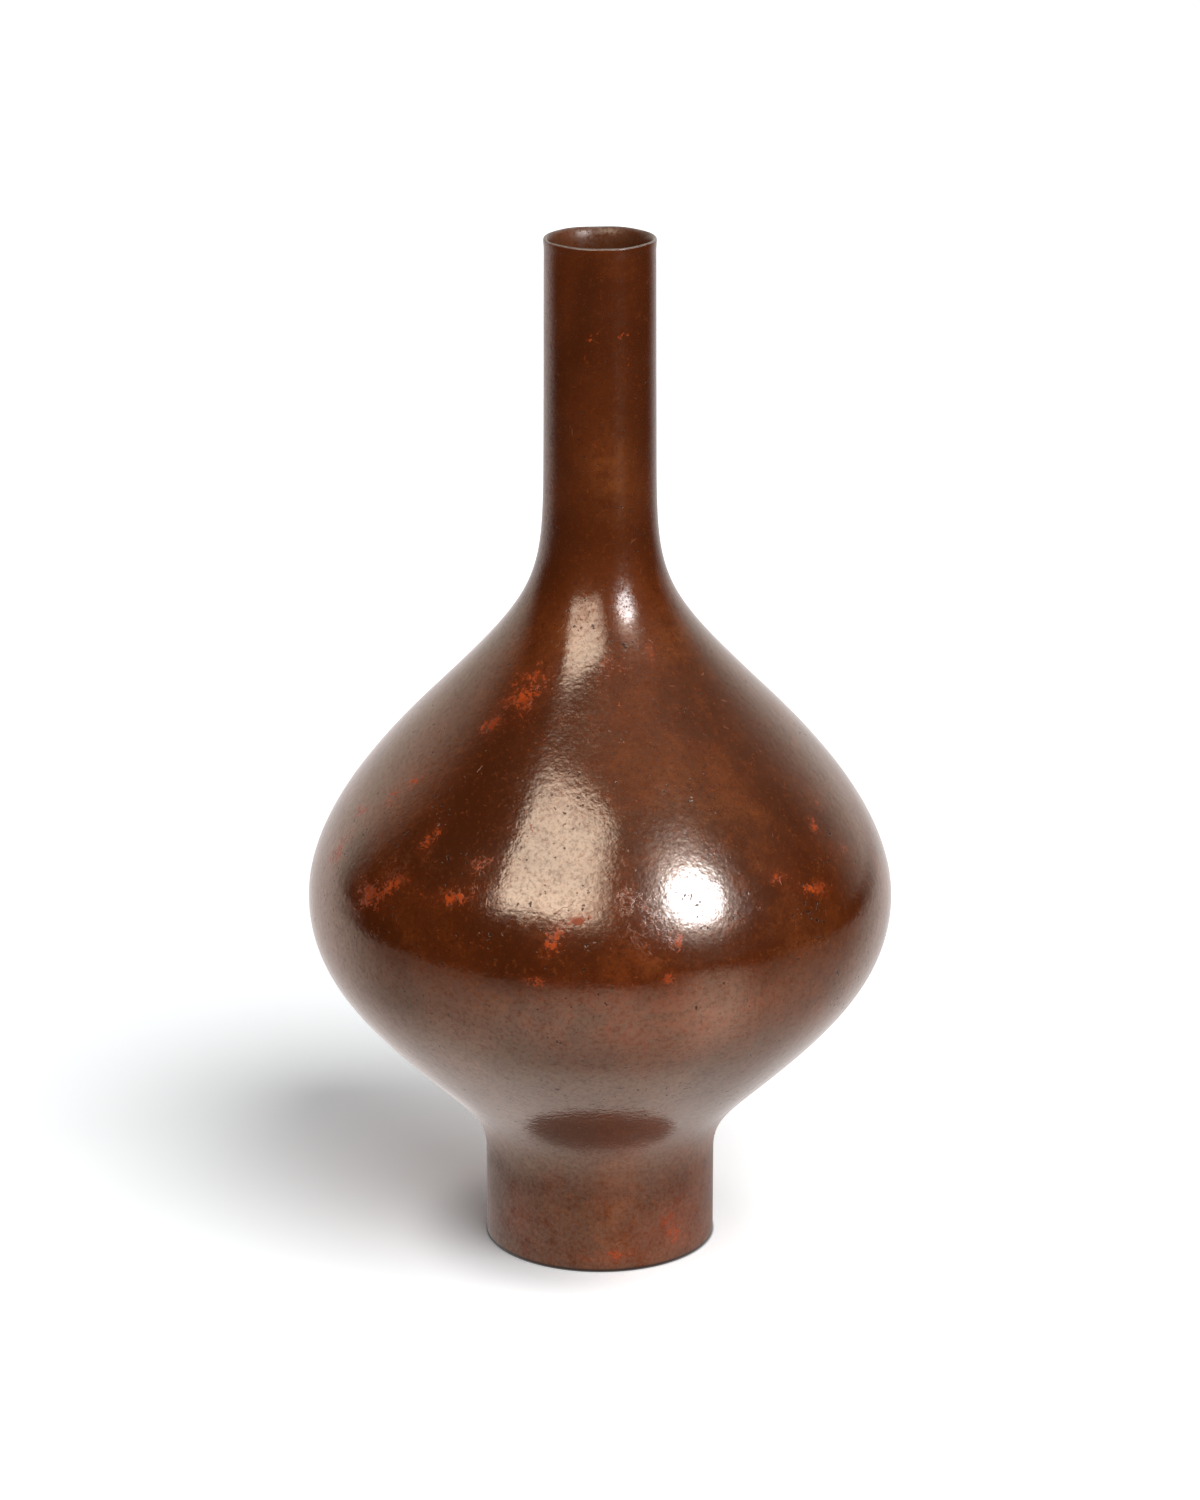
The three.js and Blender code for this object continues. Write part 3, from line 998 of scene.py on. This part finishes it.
# Painted shadow: a thin dark ring at the foot's edge, and a soft one round the foot that is darkest on its
# left, darken what the camera sees of the floor.
painted_contact_shadow = window(from_axis, 0.0333, 0.0345, 0.85, 0)
in_shade = window(to_right, 0.02, -0.02, 0.35, 1)
painted_shadow_by_foot = times(window(from_axis, 0.034, 0.062, 0.34, 0), in_shade)
seen_floor = blend(higher(painted_contact_shadow, painted_shadow_by_foot), FLOOR_SEEN, BLACK)
floor_colour = blend(path["Is Camera Ray"], FLOOR_GIVES, seen_floor)
matt = add_node("BsdfDiffuse", "BSDF", {"Color": floor_colour})
feed(choice, {"Fac": path["Is Glossy Ray"], 1: matt, 2: glow})
print("floor nodes:", len(tree.nodes))

# %% [markdown]
# Beyond the floor the room in front is dark, which the belly mirrors as its deep brown, and behind
# the vase it is white, which shows as the bright rims at both sides. A glowing dome that only
# glossy rays see paints both into the reflections: it is dark in front and fades to white behind.

# %% Hang the dark dome
DOME_DISTANCE = 5
WARM_LEFT = (1, 0.95, 0.9)
PLAIN_RIGHT = (1, 1, 0.98)


def dome(around, share):
    """Distance times the direction at each azimuth and elevation; open below 4 degrees at the back."""
    lowest = -0.5 + 4.5 * smooth_step(np.abs(around), 140, 160)
    elevation = np.radians(lowest + (90 - lowest) * share)
    flat = DOME_DISTANCE * np.cos(elevation)
    turn = np.radians(around)
    return np.stack([flat * np.sin(turn), -flat * np.cos(turn), DOME_DISTANCE * np.sin(elevation)], axis=2)


def dome_grey(place):
    """Black at the front left, dark grey at the front right and overhead, and white at the back.

    Below the round lamp there is a faint glow. All steps are of the azimuth, and of the elevation,
    whose sine is z over the distance, in degrees.
    """
    x, y, z = parts_of(place)
    azimuth = azimuth_of(x, y)
    elevation = maths("DEGREES", maths("ARCSINE", over(z, DOME_DISTANCE)))
    rising = window(elevation, 10, 66, 0.02, 1)
    front = times(rising, window(azimuth, -65, 20, 0.02, 0.19))
    back = window(elevation, -2, 50, 1, 0.32)
    left_start = window(elevation, 0, 36, -113, -99)
    left_end = window(elevation, 0, 36, -136, -126)
    turning = higher(window(azimuth, 105, 152), window(azimuth, left_start, left_end))
    below_lamp = window(off(azimuth, 44), 24, 0, 0, 0.13)
    lamp_glow = times(below_lamp, window(elevation, 20.05, 5.73))
    return plus(between(turning, front, back), lamp_glow)


around, share = np.meshgrid(np.linspace(-180, 180, 120), np.linspace(0, 1, 40), indexing="ij")
dome_faces = grid_faces(*around.shape, False, False)[:, ::-1]
hanging = mesh_object("dark_dome", dome(around, share), dome_faces.tolist())
for ray in ("camera", "diffuse", "transmission", "volume_scatter", "shadow"):
    setattr(hanging, "visible_" + ray, False)

# The dome's glow is a painted reflection: only glossy rays see it.
tree, dome_glow, place = new_finish(hanging, "dome_grey", "Emission")
side = window(parts_of(place)[0], -1.5, 1.5)
feed(dome_glow, {"Strength": dome_grey(place), "Color": blend(side, WARM_LEFT, PLAIN_RIGHT)})
print("dome", DOME_DISTANCE, "m away")

# %% [markdown]
# The world is white to the camera and in reflections, and a soft grey fill for everything else.
# It is found by scattered rays alone, because picking directions on it by light sampling would mix
# the grey into the white reflections.

# %% Set the world
FILL = 0.24

world = bpy.data.worlds.new("studio")
bpy.context.scene.world = world
world.use_nodes = True
tree = world.node_tree
tree.nodes.clear()
path = tree.nodes.new("ShaderNodeLightPath").outputs
seen = higher(higher(path["Is Camera Ray"], path["Is Glossy Ray"]), path["Is Transmission Ray"])
sky = add_node("Background", "Background", {"Color": blend(seen, (FILL, FILL, FILL), WHITE)})
feed(tree.nodes.new("ShaderNodeOutputWorld"), {"Surface": sky})
world.cycles.sampling_method = "NONE"
print("fill light", FILL)

# %% [markdown]
# Two lamps light the vase. A large softbox, high at the left, is mirrored as the tall warm patch on
# the belly and the strip at the foot of the neck. A round lamp at the right, with colder light,
# makes the bright spot, and its light on the things round it makes the spot's soft halo. Their
# places were worked out from where their mirror images lie on the vase.

# %% Place the lamps that light the vase
LAMP_DISTANCE = 3
COLD_WHITE = (0.55, 0.72, 1)
HALO_WHITE = (0.84, 0.85, 0.92)
VASE_MIDDLE = Vector((0, 0, 0.13))
SOFTBOX_TURN = -26
SOFTBOX_TILT = 22.3
SOFTBOX_SHIFT = 0.13


def direction(azimuth, elevation):
    """The unit vector to a lamp: azimuth 0 is towards the camera and grows to the right, in degrees."""
    a, e = math.radians(azimuth), math.radians(elevation)
    return Vector((math.sin(a) * math.cos(e), -math.cos(a) * math.cos(e), math.sin(e)))


def area_lamp(name, shape, place, facing, width, height, radiance):
    """An area lamp that shines along facing. Its power is radiance times area times pi."""
    data = bpy.data.lights.new(name, "AREA")
    data.shape = shape
    data.size = width
    data.size_y = height
    area = width * height * (math.pi / 4 if shape == "ELLIPSE" else 1)
    data.energy = radiance * area * math.pi
    lamp = scene_object(name, data)
    lamp.location = place
    lamp.rotation_euler = facing.to_track_quat("-Z", "Y").to_euler()
    lamp.visible_camera = False
    return lamp


def lamp_at(azimuth, elevation):
    """The place of a lamp in that direction, and the way from there to the vase."""
    way = direction(azimuth, elevation)
    return VASE_MIDDLE + LAMP_DISTANCE * way, -way


def span(degrees):
    """The width of a lamp that looks that many degrees wide."""
    return 2 * LAMP_DISTANCE * math.tan(math.radians(degrees / 2))


sideways = direction(SOFTBOX_TURN + 90, 0)
softbox_place = lamp_at(-24, 50.7)[0] + SOFTBOX_SHIFT * sideways
softbox_facing = -direction(SOFTBOX_TURN, SOFTBOX_TILT)
softbox = area_lamp("softbox", "RECTANGLE", softbox_place, softbox_facing, 2.05, 2.12, radiance=3.9)
round_lamp = area_lamp("round_lamp", "ELLIPSE", *lamp_at(42.3, 33), span(21), span(21), radiance=15.5)
halo = area_lamp("lamp_halo", "RECTANGLE", *lamp_at(42, 33), span(54), span(64), radiance=5)
round_lamp.data.color = COLD_WHITE
halo.data.color = HALO_WHITE
print("lamp powers, W:", [round(lamp.data.energy, 1) for lamp in (softbox, round_lamp, halo)])

# %% [markdown]
# A lamp's own nodes can make it dimmer here and there: Parametric runs from 0 to 1 across the lamp
# and up it. The softbox is dimmed towards its top and its right side, and the halo falls off from
# its middle as the fourth power of what is left of the way to its edge.

# %% Shape the softbox and the halo


def shaped(lamp):
    """The emission node of a lamp, and the place across and up the lamp, each from 0 to 1."""
    lamp.data.use_nodes = True
    tree = lamp.data.node_tree
    emission = next(node for node in tree.nodes if node.type == "EMISSION")
    geometry = tree.nodes.new("ShaderNodeNewGeometry")
    return emission, *parts_of(geometry.outputs["Parametric"])[:2]


def squared(value):
    """A value times itself."""
    return times(value, value)


emission, across, up = shaped(softbox)
to_side = window(across, 0.72, 1.04, 1, 0.1)
to_top = times(window(up, 0, 0.45, 1.28, 1.02), window(up, 0.9, 1.02, 1, 0.35))
feed(emission, {"Strength": times(to_side, to_top)})

emission, across, up = shaped(halo)
off_middle = maths("SQRT", plus(squared(minus(across, 0.5)), squared(minus(up, 0.5))))
left_over = higher(minus(1, times(off_middle, 2)), 0)
feed(emission, {"Strength": maths("MINIMUM", times(squared(squared(left_over)), 4.5), 1)})
print("softbox and halo shaped")

# %% [markdown]
# A soft fill from the right lights the brown there without being mirrored. The floor has a lamp of
# its own, as wide as a window seen from near by, which casts the soft shadow to the back left. Light
# linking says which objects a lamp lights: a collection with the floor marked as left out serves for
# the vase's lamps, so only one shadow shows, and one that holds only the floor for the floor's lamp.

# %% Share the lamps between the vase and the floor


def floor_collection(name, state):
    """A collection that holds the floor, marked INCLUDE or EXCLUDE for light linking."""
    collection = bpy.data.collections.new(name)
    collection.objects.link(floor)
    collection.collection_objects[0].light_linking.link_state = state
    return collection


def far_lamp(name, azimuth, elevation, degrees_wide, energy):
    """A lamp infinitely far away that looks that many degrees wide and isn't mirrored."""
    data = bpy.data.lights.new(name, "SUN")
    data.angle = math.radians(degrees_wide)
    data.energy = energy
    lamp = scene_object(name, data)
    lamp.rotation_euler = (-direction(azimuth, elevation)).to_track_quat("-Z", "Y").to_euler()
    lamp.visible_glossy = False
    return lamp


side_fill = far_lamp("side_fill", 52, 25, degrees_wide=70, energy=1.25)
without_floor = floor_collection("without_floor", "EXCLUDE")
for lamp in (softbox, round_lamp, halo, side_fill):
    lamp.light_linking.receiver_collection = without_floor

floor_lamp = far_lamp("floor_lamp", 39.7, 38.8, degrees_wide=55.2, energy=2)
floor_lamp.light_linking.receiver_collection = floor_collection("only_floor", "INCLUDE")
print("floor lamp, degrees wide:", round(math.degrees(floor_lamp.data.angle), 1))

# %% [markdown]
# The camera stands above the mouth and looks down at the vase, from far enough away that it shows
# little perspective. Its place and lens come from fitting the foot's and the mouth's ellipses and
# the whole outline.

# %% Place the camera
CAMERA_PLACE = (0, -1.3502, 0.5858)
CAMERA_DIP = 0.3127
CAMERA_LENS = 117.85

camera_data = bpy.data.cameras.new("camera")
camera_data.lens = CAMERA_LENS
camera_data.sensor_width = 36
camera_data.clip_end = 100
camera = scene_object("camera", camera_data)
camera.location = CAMERA_PLACE
camera.rotation_euler = (math.pi / 2 - CAMERA_DIP, 0, 0)
bpy.context.scene.camera = camera
bpy.context.scene.view_settings.view_transform = "Standard"
print("camera", round(camera.location.length, 3), "m from the origin")
